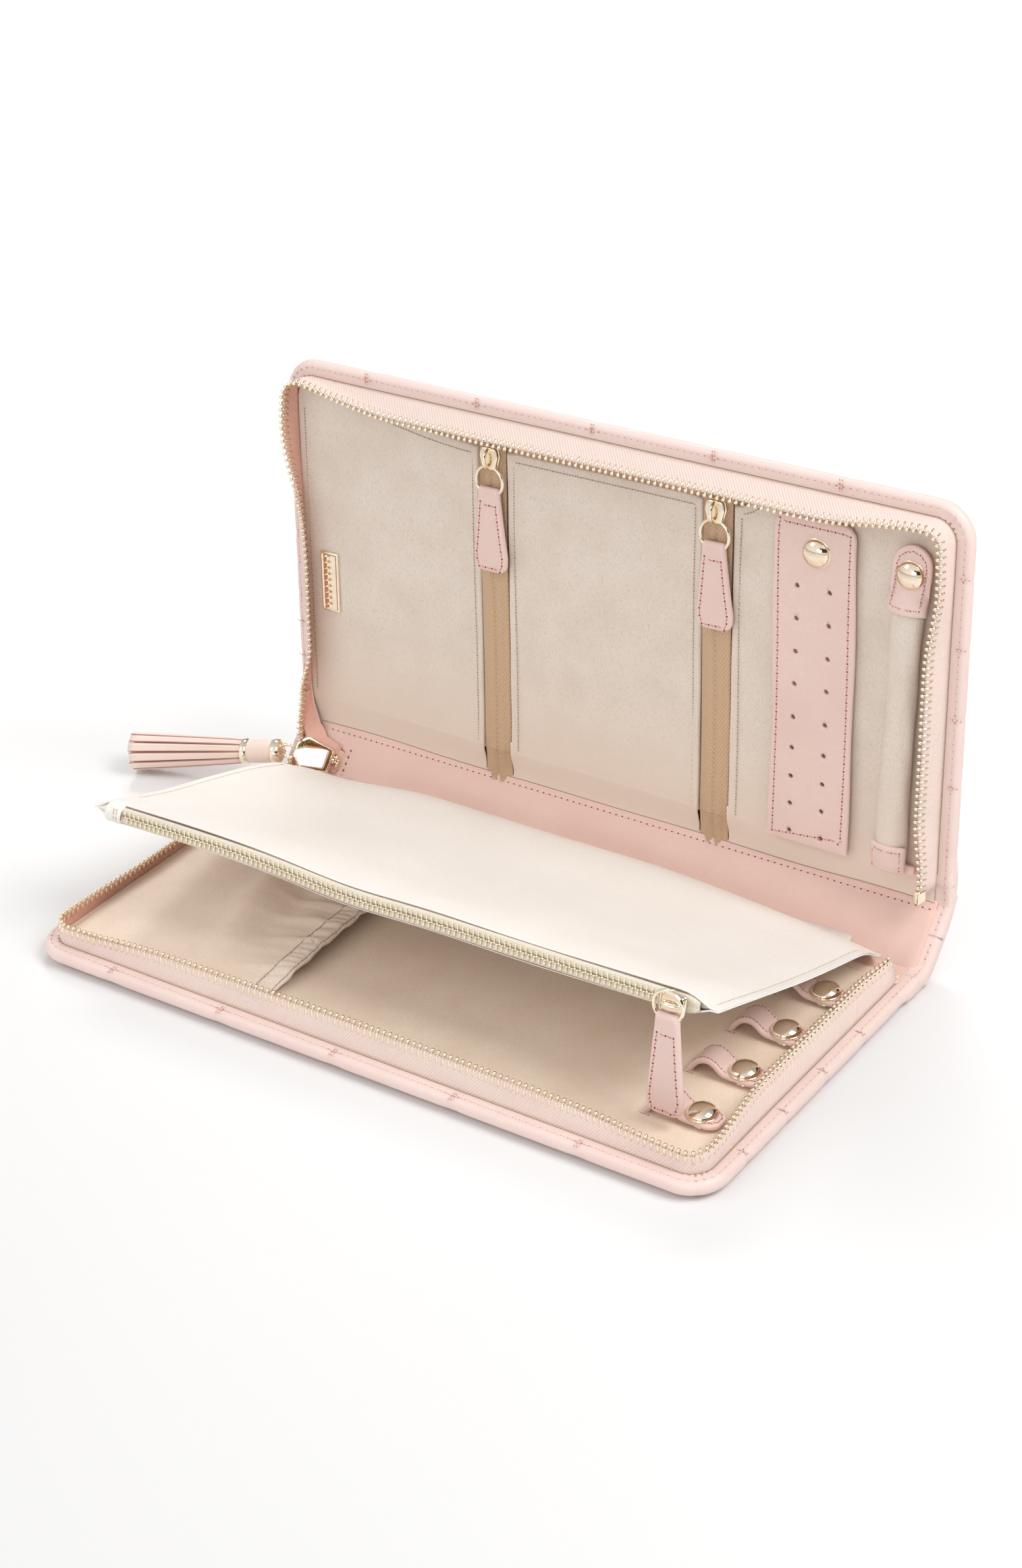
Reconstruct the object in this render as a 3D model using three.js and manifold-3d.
// Travel jewelry case, open at its resting angle. Millimetres, +Z up, the spine lies along X.
// The origin is the middle of the underside of the base cover.
import * as THREE from "three";
import Module from "manifold-3d";

const wasm = await Module();
wasm.setup();

// ---- driving dimensions ----
const WIDTH = 286; // along the spine
const DEPTH = 145; // hinge line to the far edge of a cover
const THICK = 36.2; // closed height, and the distance between the two hinge lines
const HINGE_Y = 70.6; // the base hinge line
const COVER_NEAR = 3.6; // a cover starts this far in front of its hinge line
const FAR_RADIUS = 14; // outer corners of a cover
const RIM_TOP = 6.6; // height of a cover's padded rim
const RIM_INNER = 4.6; // inset of the rim's inner wall
const SPINE_DEG = 47.2; // spine above the table
const LID_DEG = 86.645; // lid above the table
const POUCH_DEG = 15.35; // pouch above the table
const LINING_TOP = 7.4; // height of the lining's face above the cover's outer face
const GUSSET_START = 9.5; // the zipper tape starts this far in front of the hinge line
const POUCH_ROOT_S = 10; // where the pouch is sewn to the spine
const POUCH_ROOT_O = 4;
const POUCH_HALF = 128; // half of the pouch's width
const POUCH_LENGTH = 122.8; // sewn edge to the front panel
const POUCH_LIFT = 8.1; // the pouch's flat part lies this far above its sewn edge
const TAB_STEPS = [114, 87, 60, 33]; // necklace loops, front to rear
const TAB_ROOT = 104.6;
const TAB_WIDTH = 10.4;
const SNAP_RADIUS = 5.1;
const POCKET_ZIPS = [-47.25, 47.4]; // the two zippers in the lid's lining
const POUCH_SLIDER_U = 113.5;

const rad = (degrees) => (degrees * Math.PI) / 180;
const group = new THREE.Group();
group.name = "travel_jewelry_case";

// ---- frames ----
function frame(yAxis, zAxis, origin) {
  const x = new THREE.Vector3(1, 0, 0);
  return new THREE.Matrix4()
    .makeBasis(x, new THREE.Vector3(...yAxis), new THREE.Vector3(...zAxis))
    .setPosition(...origin);
}

const spineCos = Math.cos(rad(SPINE_DEG));
const spineSin = Math.sin(rad(SPINE_DEG));
const lidCos = Math.cos(rad(LID_DEG));
const lidSin = Math.sin(rad(LID_DEG));
const pouchCos = Math.cos(rad(POUCH_DEG));
const pouchSin = Math.sin(rad(POUCH_DEG));
const BASE = frame([0, 1, 0], [0, 0, 1], [0, HINGE_Y, 0]);
const SPINE = frame([0, spineCos, spineSin], [0, -spineSin, spineCos], [0, HINGE_Y, 0]);
const LID = frame(
  [0, lidCos, lidSin],
  [0, -lidSin, lidCos],
  [0, HINGE_Y + THICK * spineCos, THICK * spineSin],
);
const pouchRoot = new THREE.Vector3(0, POUCH_ROOT_S, POUCH_ROOT_O).applyMatrix4(SPINE);
const POUCH = frame([0, pouchCos, -pouchSin], [0, pouchSin, pouchCos], pouchRoot.toArray());

// ---- materials ----
const COLOURS = {
  leather: 0xe6c4b8,
  stitch: 0xd9a596,
  suede: 0xd9c9b6,
  twill: 0xdcb3a2,
  tan: 0xcda982,
  cream: 0xf0e8dc,
  metal: 0xd8bfa2,
  board: 0xbfae98,
  foam: 0xe9e2d2,
};

function material(kind) {
  const metal = kind === "metal";
  return new THREE.MeshStandardMaterial({
    color: COLOURS[kind],
    metalness: metal ? 1 : 0,
    roughness: metal ? 0.25 : 0.7,
  });
}

// ---- closed surfaces ----
function surface(points, triangles) {
  let volume = 0;
  const a = new THREE.Vector3();
  const b = new THREE.Vector3();
  const c = new THREE.Vector3();
  for (const t of triangles) {
    a.set(...points[t[0]]);
    b.set(...points[t[1]]);
    c.set(...points[t[2]]);
    volume += a.dot(b.cross(c));
  }
  const index = [];
  for (const t of triangles) {
    if (volume > 0) index.push(t[0], t[1], t[2]);
    else index.push(t[0], t[2], t[1]);
  }
  const geometry = new THREE.BufferGeometry();
  geometry.setAttribute("position", new THREE.Float32BufferAttribute(points.flat(), 3));
  geometry.setIndex(index);
  geometry.computeVertexNormals();
  return geometry;
}

// The two axes in which a flat ring is drawn largest.
function flatten(ring) {
  const normal = [0, 0, 0];
  ring.forEach((p, i) => {
    const q = ring[(i + 1) % ring.length];
    normal[0] += (p[1] - q[1]) * (p[2] + q[2]);
    normal[1] += (p[2] - q[2]) * (p[0] + q[0]);
    normal[2] += (p[0] - q[0]) * (p[1] + q[1]);
  });
  const size = normal.map(Math.abs);
  const drop = size.indexOf(Math.max(...size));
  const keep = [0, 1, 2].filter((axis) => axis !== drop);
  const points = ring.map((p) => new THREE.Vector2(p[keep[0]], p[keep[1]]));
  const order = points.map((_, i) => i);
  if (THREE.ShapeUtils.area(points) < 0) {
    points.reverse();
    order.reverse();
  }
  const faces = THREE.ShapeUtils.triangulateShape(points, []);
  return faces.map((f) => f.map((i) => order[i]));
}

// Rings of equal length, one after another, with a flat end at each side.
function loft(rings) {
  const n = rings[0].length;
  const points = rings.flat();
  const triangles = [];
  for (let k = 0; k + 1 < rings.length; k++) {
    for (let i = 0; i < n; i++) {
      const a = k * n + i;
      const b = k * n + ((i + 1) % n);
      triangles.push([a, b, b + n], [a, b + n, a + n]);
    }
  }
  const sample = triangles[0];
  const faceDown = flatten(rings[0]);
  const faceUp = flatten(rings[rings.length - 1]).map((f) => f.map((i) => i + points.length - n));
  const edges = new Set();
  for (const t of triangles) for (let i = 0; i < 3; i++) edges.add(t[i] + "," + t[(i + 1) % 3]);
  for (const cap of [faceDown, faceUp]) {
    // a shared edge runs opposite ways in its two faces
    let turned = false;
    for (const f of cap) {
      for (let i = 0; i < 3; i++) if (edges.has(f[i] + "," + f[(i + 1) % 3])) turned = true;
    }
    for (const f of cap) triangles.push(turned ? [f[0], f[2], f[1]] : f);
  }
  if (!sample) throw new Error("an empty loft");
  return surface(points, triangles);
}

function solid(geometry) {
  const position = geometry.attributes.position;
  const merged = new wasm.Mesh({
    numProp: 3,
    vertProperties: new Float32Array(position.array),
    triVerts: new Uint32Array(geometry.index.array),
  });
  merged.merge();
  return new wasm.Manifold(merged);
}

function join(geometries) {
  let whole = solid(geometries[0]);
  for (const g of geometries.slice(1)) whole = whole.add(solid(g));
  const mesh = whole.getMesh();
  const geometry = new THREE.BufferGeometry();
  geometry.setAttribute("position", new THREE.Float32BufferAttribute(mesh.vertProperties, 3));
  geometry.setIndex(Array.from(mesh.triVerts));
  geometry.computeVertexNormals();
  return geometry;
}

function put(name, geometry, kind, where) {
  geometry.applyMatrix4(where);
  const mesh = new THREE.Mesh(geometry, material(kind));
  mesh.name = name;
  group.add(mesh);
  return mesh;
}

// ---- outlines and simple forms ----
function box(x0, x1, y0, y1, z0, z1) {
  const ring = (z) => [
    [x0, y0, z],
    [x1, y0, z],
    [x1, y1, z],
    [x0, y1, z],
  ];
  return loft([ring(z0), ring(z1)]);
}

function arc(points, cx, cy, radius, from, to, steps) {
  for (let i = 0; i <= steps; i++) {
    const t = rad(from + ((to - from) * i) / steps);
    points.push([cx + radius * Math.cos(t), cy + radius * Math.sin(t)]);
  }
}

function roundRect(x0, x1, y0, y1, radii, steps = 4) {
  const points = [];
  const [a, b, c, d] = radii;
  arc(points, x0 + a, y0 + a, a, 180, 270, steps);
  arc(points, x1 - b, y0 + b, b, 270, 360, steps);
  arc(points, x1 - c, y1 - c, c, 0, 90, steps);
  arc(points, x0 + d, y1 - d, d, 90, 180, steps);
  return points;
}

// A slab between two heights with slightly drawn-in edges.
function slab(outline, z0, z1, draw = 0) {
  const xs = outline.map((p) => p[0]);
  const ys = outline.map((p) => p[1]);
  const cx = (Math.min(...xs) + Math.max(...xs)) / 2;
  const cy = (Math.min(...ys) + Math.max(...ys)) / 2;
  const fx = 1 - (2 * draw) / (Math.max(...xs) - Math.min(...xs));
  const fy = 1 - (2 * draw) / (Math.max(...ys) - Math.min(...ys));
  const full = (z) => outline.map((p) => [p[0], p[1], z]);
  const less = (z) => outline.map((p) => [cx + (p[0] - cx) * fx, cy + (p[1] - cy) * fy, z]);
  if (!draw) return loft([full(z0), full(z1)]);
  return loft([full(z0), full(z1 - draw), less(z1)]);
}

// A cover's outline, inset all round. side is -1 for the base and 1 for the lid.
function coverOutline(side, inset) {
  const half = WIDTH / 2 - inset;
  const near = COVER_NEAR + 0.4 * inset;
  const far = DEPTH - inset;
  const rNear = Math.max(2.2 - 0.3 * inset, 0.6);
  const rFar = FAR_RADIUS - inset;
  const points = roundRect(-half, half, near, far, [rNear, rNear, rFar, rFar], 5);
  return points.map((p) => [p[0], side * p[1]]);
}

function coverTray(side) {
  const steps = [
    [0, 1.6],
    [0.9, 0.4],
    [3.3, 0],
    [5.7, 0.5],
    [RIM_TOP, 1.8],
    [RIM_TOP, 4.0],
    [RIM_TOP - 0.4, RIM_INNER],
    [2.0, RIM_INNER],
  ];
  return loft(steps.map(([z, inset]) => coverOutline(side, inset).map((p) => [p[0], p[1], z])));
}

// A section of [inset, height] points swept round the three closed sides of a cover.
function gusset(side, section) {
  const cx = WIDTH / 2 - FAR_RADIUS;
  const cy = DEPTH - FAR_RADIUS;
  const rings = [];
  const addRing = (place) => {
    rings.push(
      section.map(([inset, z]) => {
        const [x, y] = place(inset);
        return [x, side * y, z];
      }),
    );
  };
  addRing((inset) => [-WIDTH / 2 + inset, GUSSET_START]);
  for (let i = 0; i <= 5; i++) {
    const t = rad(180 - 18 * i);
    addRing((k) => [-cx + (FAR_RADIUS - k) * Math.cos(t), cy + (FAR_RADIUS - k) * Math.sin(t)]);
  }
  for (let i = 0; i <= 5; i++) {
    const t = rad(90 - 18 * i);
    addRing((k) => [cx + (FAR_RADIUS - k) * Math.cos(t), cy + (FAR_RADIUS - k) * Math.sin(t)]);
  }
  addRing((inset) => [WIDTH / 2 - inset, GUSSET_START]);
  return loft(rings);
}

const TAPE = [
  [5.2, 6.8],
  [6.1, 6.8],
  [8.9, 15.0],
  [8.0, 15.0],
];
const RAIL = [
  [7.5, 15.3],
  [9.6, 15.3],
  [9.9, 16.5],
  [9.6, 17.75],
  [7.5, 17.75],
  [7.2, 16.5],
];

// Both covers carry the same stack: shell, foam, board, zipper tape and teeth.
for (const [where, side, matrix] of [
  ["base", -1, BASE],
  ["lid", 1, LID],
]) {
  put(where + "_cover", coverTray(side), "leather", matrix);
  put(where + "_foam", slab(coverOutline(side, 4.9), 2.3, 4.3), "foam", matrix);
  put(where + "_board", slab(coverOutline(side, 4.9), 4.6, 6.4), "board", matrix);
  put(where + "_zip_tape", gusset(side, TAPE), "twill", matrix);
  put(where + "_zip_teeth", gusset(side, RAIL), "metal", matrix);
}
put("base_lining", slab(coverOutline(-1, 6.5), 6.7, LINING_TOP), "suede", BASE);

// ---- elastic pocket in the base ----
const clamp = (x) => Math.min(Math.max(x, 0), 1);
const smooth = (x) => clamp(x) * clamp(x) * (3 - 2 * clamp(x));
const POCKET = { left: -134, mouth: -46, near: 10, far: 130 };

function pocketTop(u, v) {
  const along = smooth((u - POCKET.left) / 24);
  const across = smooth((v - POCKET.near) / 18) * smooth((POCKET.far - v) / 16);
  const dip = 0.5 * smooth((u + 70) / 24);
  return 8.5 + (5.3 - dip) * along * across;
}

function shell(x0, x1, nx, y0, y1, ny, top, thickness) {
  const points = [];
  const id = (i, j, under) => (under ? (nx + 1) * (ny + 1) : 0) + i * (ny + 1) + j;
  for (const under of [0, 1]) {
    for (let i = 0; i <= nx; i++) {
      for (let j = 0; j <= ny; j++) {
        const u = x0 + ((x1 - x0) * i) / nx;
        const v = y0 + ((y1 - y0) * j) / ny;
        points.push([u, -v, top(u, v) - under * thickness]);
      }
    }
  }
  const triangles = [];
  const quad = (a, b, c, d) => triangles.push([a, b, c], [a, c, d]);
  for (let i = 0; i < nx; i++) {
    for (let j = 0; j < ny; j++) {
      quad(id(i, j, 0), id(i + 1, j, 0), id(i + 1, j + 1, 0), id(i, j + 1, 0));
      quad(id(i, j, 1), id(i, j + 1, 1), id(i + 1, j + 1, 1), id(i + 1, j, 1));
    }
  }
  for (let i = 0; i < nx; i++) {
    quad(id(i, 0, 0), id(i, 0, 1), id(i + 1, 0, 1), id(i + 1, 0, 0));
    quad(id(i, ny, 0), id(i + 1, ny, 0), id(i + 1, ny, 1), id(i, ny, 1));
  }
  for (let j = 0; j < ny; j++) {
    quad(id(0, j, 0), id(0, j + 1, 0), id(0, j + 1, 1), id(0, j, 1));
    quad(id(nx, j, 0), id(nx, j, 1), id(nx, j + 1, 1), id(nx, j + 1, 0));
  }
  return surface(points, triangles);
}

put(
  "elastic_pocket",
  shell(POCKET.left, POCKET.mouth, 9, POCKET.near, POCKET.far, 14, pocketTop, 0.8),
  "suede",
  BASE,
);
put(
  "pocket_elastic",
  shell(-45.6, -41.4, 1, POCKET.near + 2, POCKET.far - 2, 14, (u, v) => pocketTop(-46, v), 1.3),
  "suede",
  BASE,
);

// ---- leather strips along a path in the XZ plane ----
function strip(path, thickness) {
  const rings = path.map(([x, z, half], i) => {
    const before = path[Math.max(i - 1, 0)];
    const after = path[Math.min(i + 1, path.length - 1)];
    const length = Math.hypot(after[0] - before[0], after[1] - before[1]);
    const nx = (-(after[1] - before[1]) / length) * (thickness / 2);
    const nz = ((after[0] - before[0]) / length) * (thickness / 2);
    return [
      [x - nx, -half, z - nz],
      [x - nx, half, z - nz],
      [x + nx, half, z + nz],
      [x + nx, -half, z + nz],
    ];
  });
  return loft(rings);
}

function dome(radius, height) {
  const profile = [
    new THREE.Vector2(0, 0),
    new THREE.Vector2(radius, 0),
    new THREE.Vector2(radius, height * 0.4),
    new THREE.Vector2(radius * 0.8, height * 0.82),
    new THREE.Vector2(0, height),
  ];
  const lathe = new THREE.LatheGeometry(profile, 16);
  return lathe.rotateX(Math.PI / 2);
}

function disc(radius, x, y, z0, z1) {
  const points = [];
  arc(points, x, y, radius, 0, 330, 11);
  return slab(points, z0, z1);
}

const HALF = TAB_WIDTH / 2;
const TAB_PATH = [
  [TAB_ROOT, 8.6, HALF],
  [105.7, 10.9, HALF],
  [107.6, 12.9, HALF],
  [110.4, 13.6, HALF],
  [113, 12.9, HALF],
  [114.9, 11.2, HALF],
  [116.3, 9.95, HALF],
  [118, 9.8, HALF],
  [126.4, 9.8, HALF],
  [128.6, 9.8, HALF * 0.8],
  [129.9, 9.8, HALF * 0.35],
];
const SNAP_U = 122.4;
TAB_STEPS.forEach((v, i) => {
  const at = new THREE.Matrix4().makeTranslation(0, -v, 0).premultiply(BASE);
  put("necklace_tab_" + (i + 1), strip(TAB_PATH, 1.5), "leather", at);
  const over = new THREE.Matrix4().makeTranslation(SNAP_U, -v, 10.85).premultiply(BASE);
  put("necklace_cap_" + (i + 1), dome(SNAP_RADIUS, 1.5), "metal", over);
});
put(
  "necklace_stud_strip",
  join([
    slab(roundRect(118.4, 126.4, -121, -26, [1.5, 1.5, 1.5, 1.5], 2), 7.7, 8.2),
    ...TAB_STEPS.map((v) => disc(3, SNAP_U, -v, 8, 8.75)),
  ]),
  "metal",
  BASE,
);

// ---- spine ----
function prismX(section, x0, x1) {
  return loft([
    section.map(([y, z]) => [x0, y, z]),
    section.map(([y, z]) => [x1, y, z]),
  ]);
}

const SPINE_SHELL = [
  [1.2, 0.9],
  [1.2, -0.3],
  [3.5, -2.2],
  [8, -3.5],
  [13, -4.1],
  [18.1, -4.3],
  [23.2, -4.1],
  [28.2, -3.5],
  [32.7, -2.2],
  [35, -0.3],
  [35, 0.9],
];
const rectYZ = (y0, y1, z0, z1) => [
  [y0, z0],
  [y1, z0],
  [y1, z1],
  [y0, z1],
];
put("spine_cover", prismX(SPINE_SHELL, -WIDTH / 2, WIDTH / 2), "leather", SPINE);
put("spine_board", prismX(rectYZ(3, 33.2, 1.2, 2.0), -138, 138), "board", SPINE);
put("spine_lining", prismX(rectYZ(2, 34.2, 2.3, 3.0), -139, 139), "leather", SPINE);
put(
  "tail_chain",
  join([box(-128.5, -106, 13.3, 17.7, 4.5, 5.8), box(-112, -106, 13.3, 17.7, 3.3, 4.8)]),
  "metal",
  SPINE,
);

// ---- main slider and tassel ----
const MAIN_X = [-139.5, -123.5];
put(
  "main_slider",
  join([
    slab(roundRect(...MAIN_X, 10.5, 20.5, [3, 4, 4, 3], 3), 7.4, 8.4),
    slab(roundRect(...MAIN_X, 10.5, 20.5, [3, 4, 4, 3], 3), 3.4, 4.2),
    box(MAIN_X[0] + 0.3, -137, 13.5, 17.5, 4.1, 7.5),
  ]),
  "metal",
  SPINE,
);

const hang = new THREE.Vector3(-0.925, -0.35, -0.147).normalize();
const flat = new THREE.Vector3(0, 0, 1).cross(hang).normalize();
const upright = new THREE.Vector3().crossVectors(hang, flat);
const TASSEL = new THREE.Matrix4()
  .makeBasis(flat, upright, hang)
  .setPosition(-143.4, HINGE_Y + 4.4 - 1.5, 15.3);
const toRing = new THREE.Matrix4().makeRotationY(Math.PI / 2);
put("tassel_ring", new THREE.TorusGeometry(2.9, 0.55, 6, 18), "metal", toRing.premultiply(TASSEL));

function ovals(list, count, ripple = 0) {
  return loft(
    list.map(([z, a, b]) => {
      const ring = [];
      for (let i = 0; i < count; i++) {
        const t = (2 * Math.PI * i) / count;
        const r = 1 - (i % 2) * ripple;
        ring.push([a * r * Math.cos(t), b * r * Math.sin(t), z]);
      }
      return ring;
    }),
  );
}

put(
  "tassel_collar",
  ovals(
    [
      [3.9, 3.4, 2.2],
      [4.6, 4.4, 3.2],
      [12.0, 4.8, 3.8],
      [12.5, 4.4, 3.4],
    ],
    12,
  ),
  "leather",
  TASSEL,
);
put(
  "tassel_band",
  ovals(
    [
      [12.8, 4.6, 3.6],
      [13.3, 5.0, 4.0],
      [15.3, 5.0, 4.0],
      [15.8, 4.6, 3.6],
    ],
    16,
  ),
  "metal",
  TASSEL,
);
put(
  "tassel_fringe",
  ovals(
    [
      [16.1, 4.6, 3.7],
      [22, 6.0, 4.4],
      [40, 7.4, 4.9],
      [63, 7.8, 4.9],
    ],
    28,
    0.1,
  ),
  "leather",
  TASSEL,
);

// ---- lid lining and its two zipped pockets ----
const PANEL_EDGE = WIDTH / 2 - 6.5;
const PANEL_V = [COVER_NEAR + 0.4 * 6.5, DEPTH - 6.5];
const panel = (u0, u1, radii) => slab(roundRect(u0, u1, ...PANEL_V, radii, 4), 6.7, LINING_TOP);
const TINY = 0.4;
put("lid_lining_left", panel(-PANEL_EDGE, -53, [TINY, TINY, TINY, 7.5]), "suede", LID);
put("lid_lining_middle", panel(-41.5, 41.5, [TINY, TINY, TINY, TINY]), "suede", LID);
put("lid_lining_right", panel(53.3, PANEL_EDGE, [TINY, TINY, 7.5, TINY]), "suede", LID);

// A pull is a double leather strip, forked over the lower bar of its ring.
function pull(top, slot, end, halfTop, halfEnd) {
  const section = [
    [-top, 0.85],
    [-slot, 0.85],
    [-slot, -0.85],
    [-top, -0.85],
    [-top, -1.35],
    [-end, -1.35],
    [-end, 1.35],
    [-top, 1.35],
  ];
  const half = (y) => halfTop + ((-y - top) / (end - top)) * (halfEnd - halfTop);
  return loft([
    section.map(([y, z]) => [-half(y), y, z]),
    section.map(([y, z]) => [half(y), y, z]),
  ]);
}

POCKET_ZIPS.forEach((u, i) => {
  const n = i + 1;
  const section = [
    [-5.4, 6.7],
    [5.4, 6.7],
    [5.4, 7.2],
    [2.1, 7.2],
    [1.8, 8.0],
    [0.8, 8.5],
    [-0.8, 8.5],
    [-1.8, 8.0],
    [-2.1, 7.2],
    [-5.4, 7.2],
  ];
  const ends = [PANEL_V[0], PANEL_V[1] - 2.5];
  const strand = loft(ends.map((v) => section.map(([x, z]) => [u + x, v, z])));
  put("pocket_zip_" + n, strand, "tan", LID);
  const body = slab(roundRect(u - 3.9, u + 3.9, 121.6, 130.2, [2, 2, 3, 3], 3), 8.8, 11.2, 0.6);
  put("pocket_slider_" + n, body, "metal", LID);
  const at = new THREE.Matrix4().makeTranslation(u, 115.9, 10.3).premultiply(LID);
  put("pocket_ring_" + n, new THREE.TorusGeometry(4.8, 0.55, 6, 20), "metal", at);
  put("pocket_pull_" + n, pull(2.4, 6.1, 35, 4.3, 6.8), "leather", at);
});

put("maker_plate", slab(roundRect(-128.3, -120, 45.7, 70.3, [1, 1, 1, 1], 2), 7.7, 8.6, 0.3), "metal", LID);

// ---- earring strap ----
const HOLE_ROWS = [6.9, 17.7, 28.4, 39.4, 51.2, 63.9, 76.2, 88.6, 100.9];
const strapOutline = roundRect(70.8, 103.4, 6.2, 131.9, [1.5, 1.5, 9, 9], 5);
const strapShape = new THREE.Shape(strapOutline.map((p) => new THREE.Vector2(...p)));
for (const v of HOLE_ROWS) {
  for (const u of [80.4, 93]) {
    const hole = [];
    arc(hole, u, v + 4, 1.2, 300, 0, 5);
    strapShape.holes.push(new THREE.Path(hole.map((p) => new THREE.Vector2(...p))));
  }
}
const strapBody = new THREE.ExtrudeGeometry(strapShape, { depth: 1.8, bevelEnabled: false });
put("earring_strap", strapBody.translate(0, 0, 8.7), "leather", LID);
put("earring_cap", dome(SNAP_RADIUS, 1.5).translate(87.5, 118.3, 10.8), "metal", LID);
put("earring_stud", disc(3.6, 87.5, 118.3, 7.7, 8.4), "metal", LID);

// ---- ring bar ----
const BAR = [
  [10, 0.55],
  [10.8, 0.85],
  [13, 1],
  [58, 1],
  [103, 1],
  [105.2, 0.85],
  [106, 0.55],
];
put(
  "ring_bar",
  loft(
    BAR.map(([v, k]) => {
      const u = 122.7 + (v - 10) * 0.024;
      const ring = [];
      for (let i = 0; i < 14; i++) {
        const t = (2 * Math.PI * i) / 14;
        ring.push([u + 5.6 * k * Math.cos(t), v, 11.6 + 3.7 * k * Math.sin(t)]);
      }
      return ring;
    }),
  ),
  "suede",
  LID,
);
put("ring_bar_tab", slab(roundRect(117.2, 132, 106.4, 128.8, [1.5, 1.5, 4, 4], 4), 9.2, 10.8), "leather", LID);
put("ring_bar_cap", dome(SNAP_RADIUS, 1.5).translate(124.8, 119.1, 11.1), "metal", LID);
put("ring_bar_stud", disc(3.6, 124.8, 119.1, 7.7, 8.9), "metal", LID);
put("ring_bar_anchor", slab(roundRect(115.8, 129.4, 6.4, 9.6, [0.5, 0.5, 0.5, 0.5], 2), 7.8, 9.2), "leather", LID);

// ---- zipped pouch sewn to the spine ----
function pouchMid(depth) {
  const t = clamp(depth / 24);
  return POUCH_LIFT * (1 - (1 - t) * (1 - t));
}

function pouchHalf(depth) {
  if (depth < 19) {
    const d = 19 - depth;
    return POUCH_HALF - 18 + Math.sqrt(Math.max(18 * 18 - d * d, 0));
  }
  if (depth > POUCH_LENGTH - 5) {
    const d = depth - (POUCH_LENGTH - 5);
    return POUCH_HALF - 5 + Math.sqrt(Math.max(25 - d * d, 0));
  }
  return POUCH_HALF;
}

const pouchPuff = (depth) => 1.7 + 1.7 * smooth((depth - 114) / 5);
const STATIONS = [1.2, 2.5, 4.5, 7.5, 11, 15, 19, 24, 70, 114, 115.5, 117, 118, 119.2, 121, 122.2, POUCH_LENGTH];
for (const [name, up] of [
  ["pouch_top", 1],
  ["pouch_bottom", -1],
]) {
  const rings = STATIONS.map((depth) => {
    const half = pouchHalf(depth);
    const mid = pouchMid(depth);
    const puff = pouchPuff(depth);
    return [
      [-half, -depth, mid + up * 0.15],
      [half, -depth, mid + up * 0.15],
      [half, -depth, mid + up * puff * 0.6],
      [half - 2, -depth, mid + up * puff],
      [-half + 2, -depth, mid + up * puff],
      [-half, -depth, mid + up * puff * 0.6],
    ];
  });
  put(name, loft(rings), "cream", POUCH);
}
put("pouch_zip_tape", box(-122, 122, -124, -123.1, POUCH_LIFT - 3.2, POUCH_LIFT + 3.2), "twill", POUCH);
const chainSection = [
  [-125.6, 7.3],
  [-124.3, 6.9],
  [-124.3, 9.3],
  [-125.6, 8.9],
];
put("pouch_zip_chain", prismX(chainSection, -120, 120), "metal", POUCH);
put(
  "pouch_slider",
  box(POUCH_SLIDER_U - 4.4, POUCH_SLIDER_U + 4.4, -127.2, -125.9, POUCH_LIFT - 2.2, POUCH_LIFT + 4),
  "metal",
  POUCH,
);
const ringAt = new THREE.Vector3(POUCH_SLIDER_U, -129.3, POUCH_LIFT).applyMatrix4(POUCH);
const lean = rad(5);
const DANGLE = frame(
  [0, Math.sin(lean), Math.cos(lean)],
  [0, -Math.cos(lean), Math.sin(lean)],
  ringAt.toArray(),
);
put("pouch_ring", new THREE.TorusGeometry(4.8, 0.55, 6, 20), "metal", DANGLE);
put("pouch_pull", pull(2.4, 6.1, 40, 5, 7), "leather", DANGLE);

export default group;
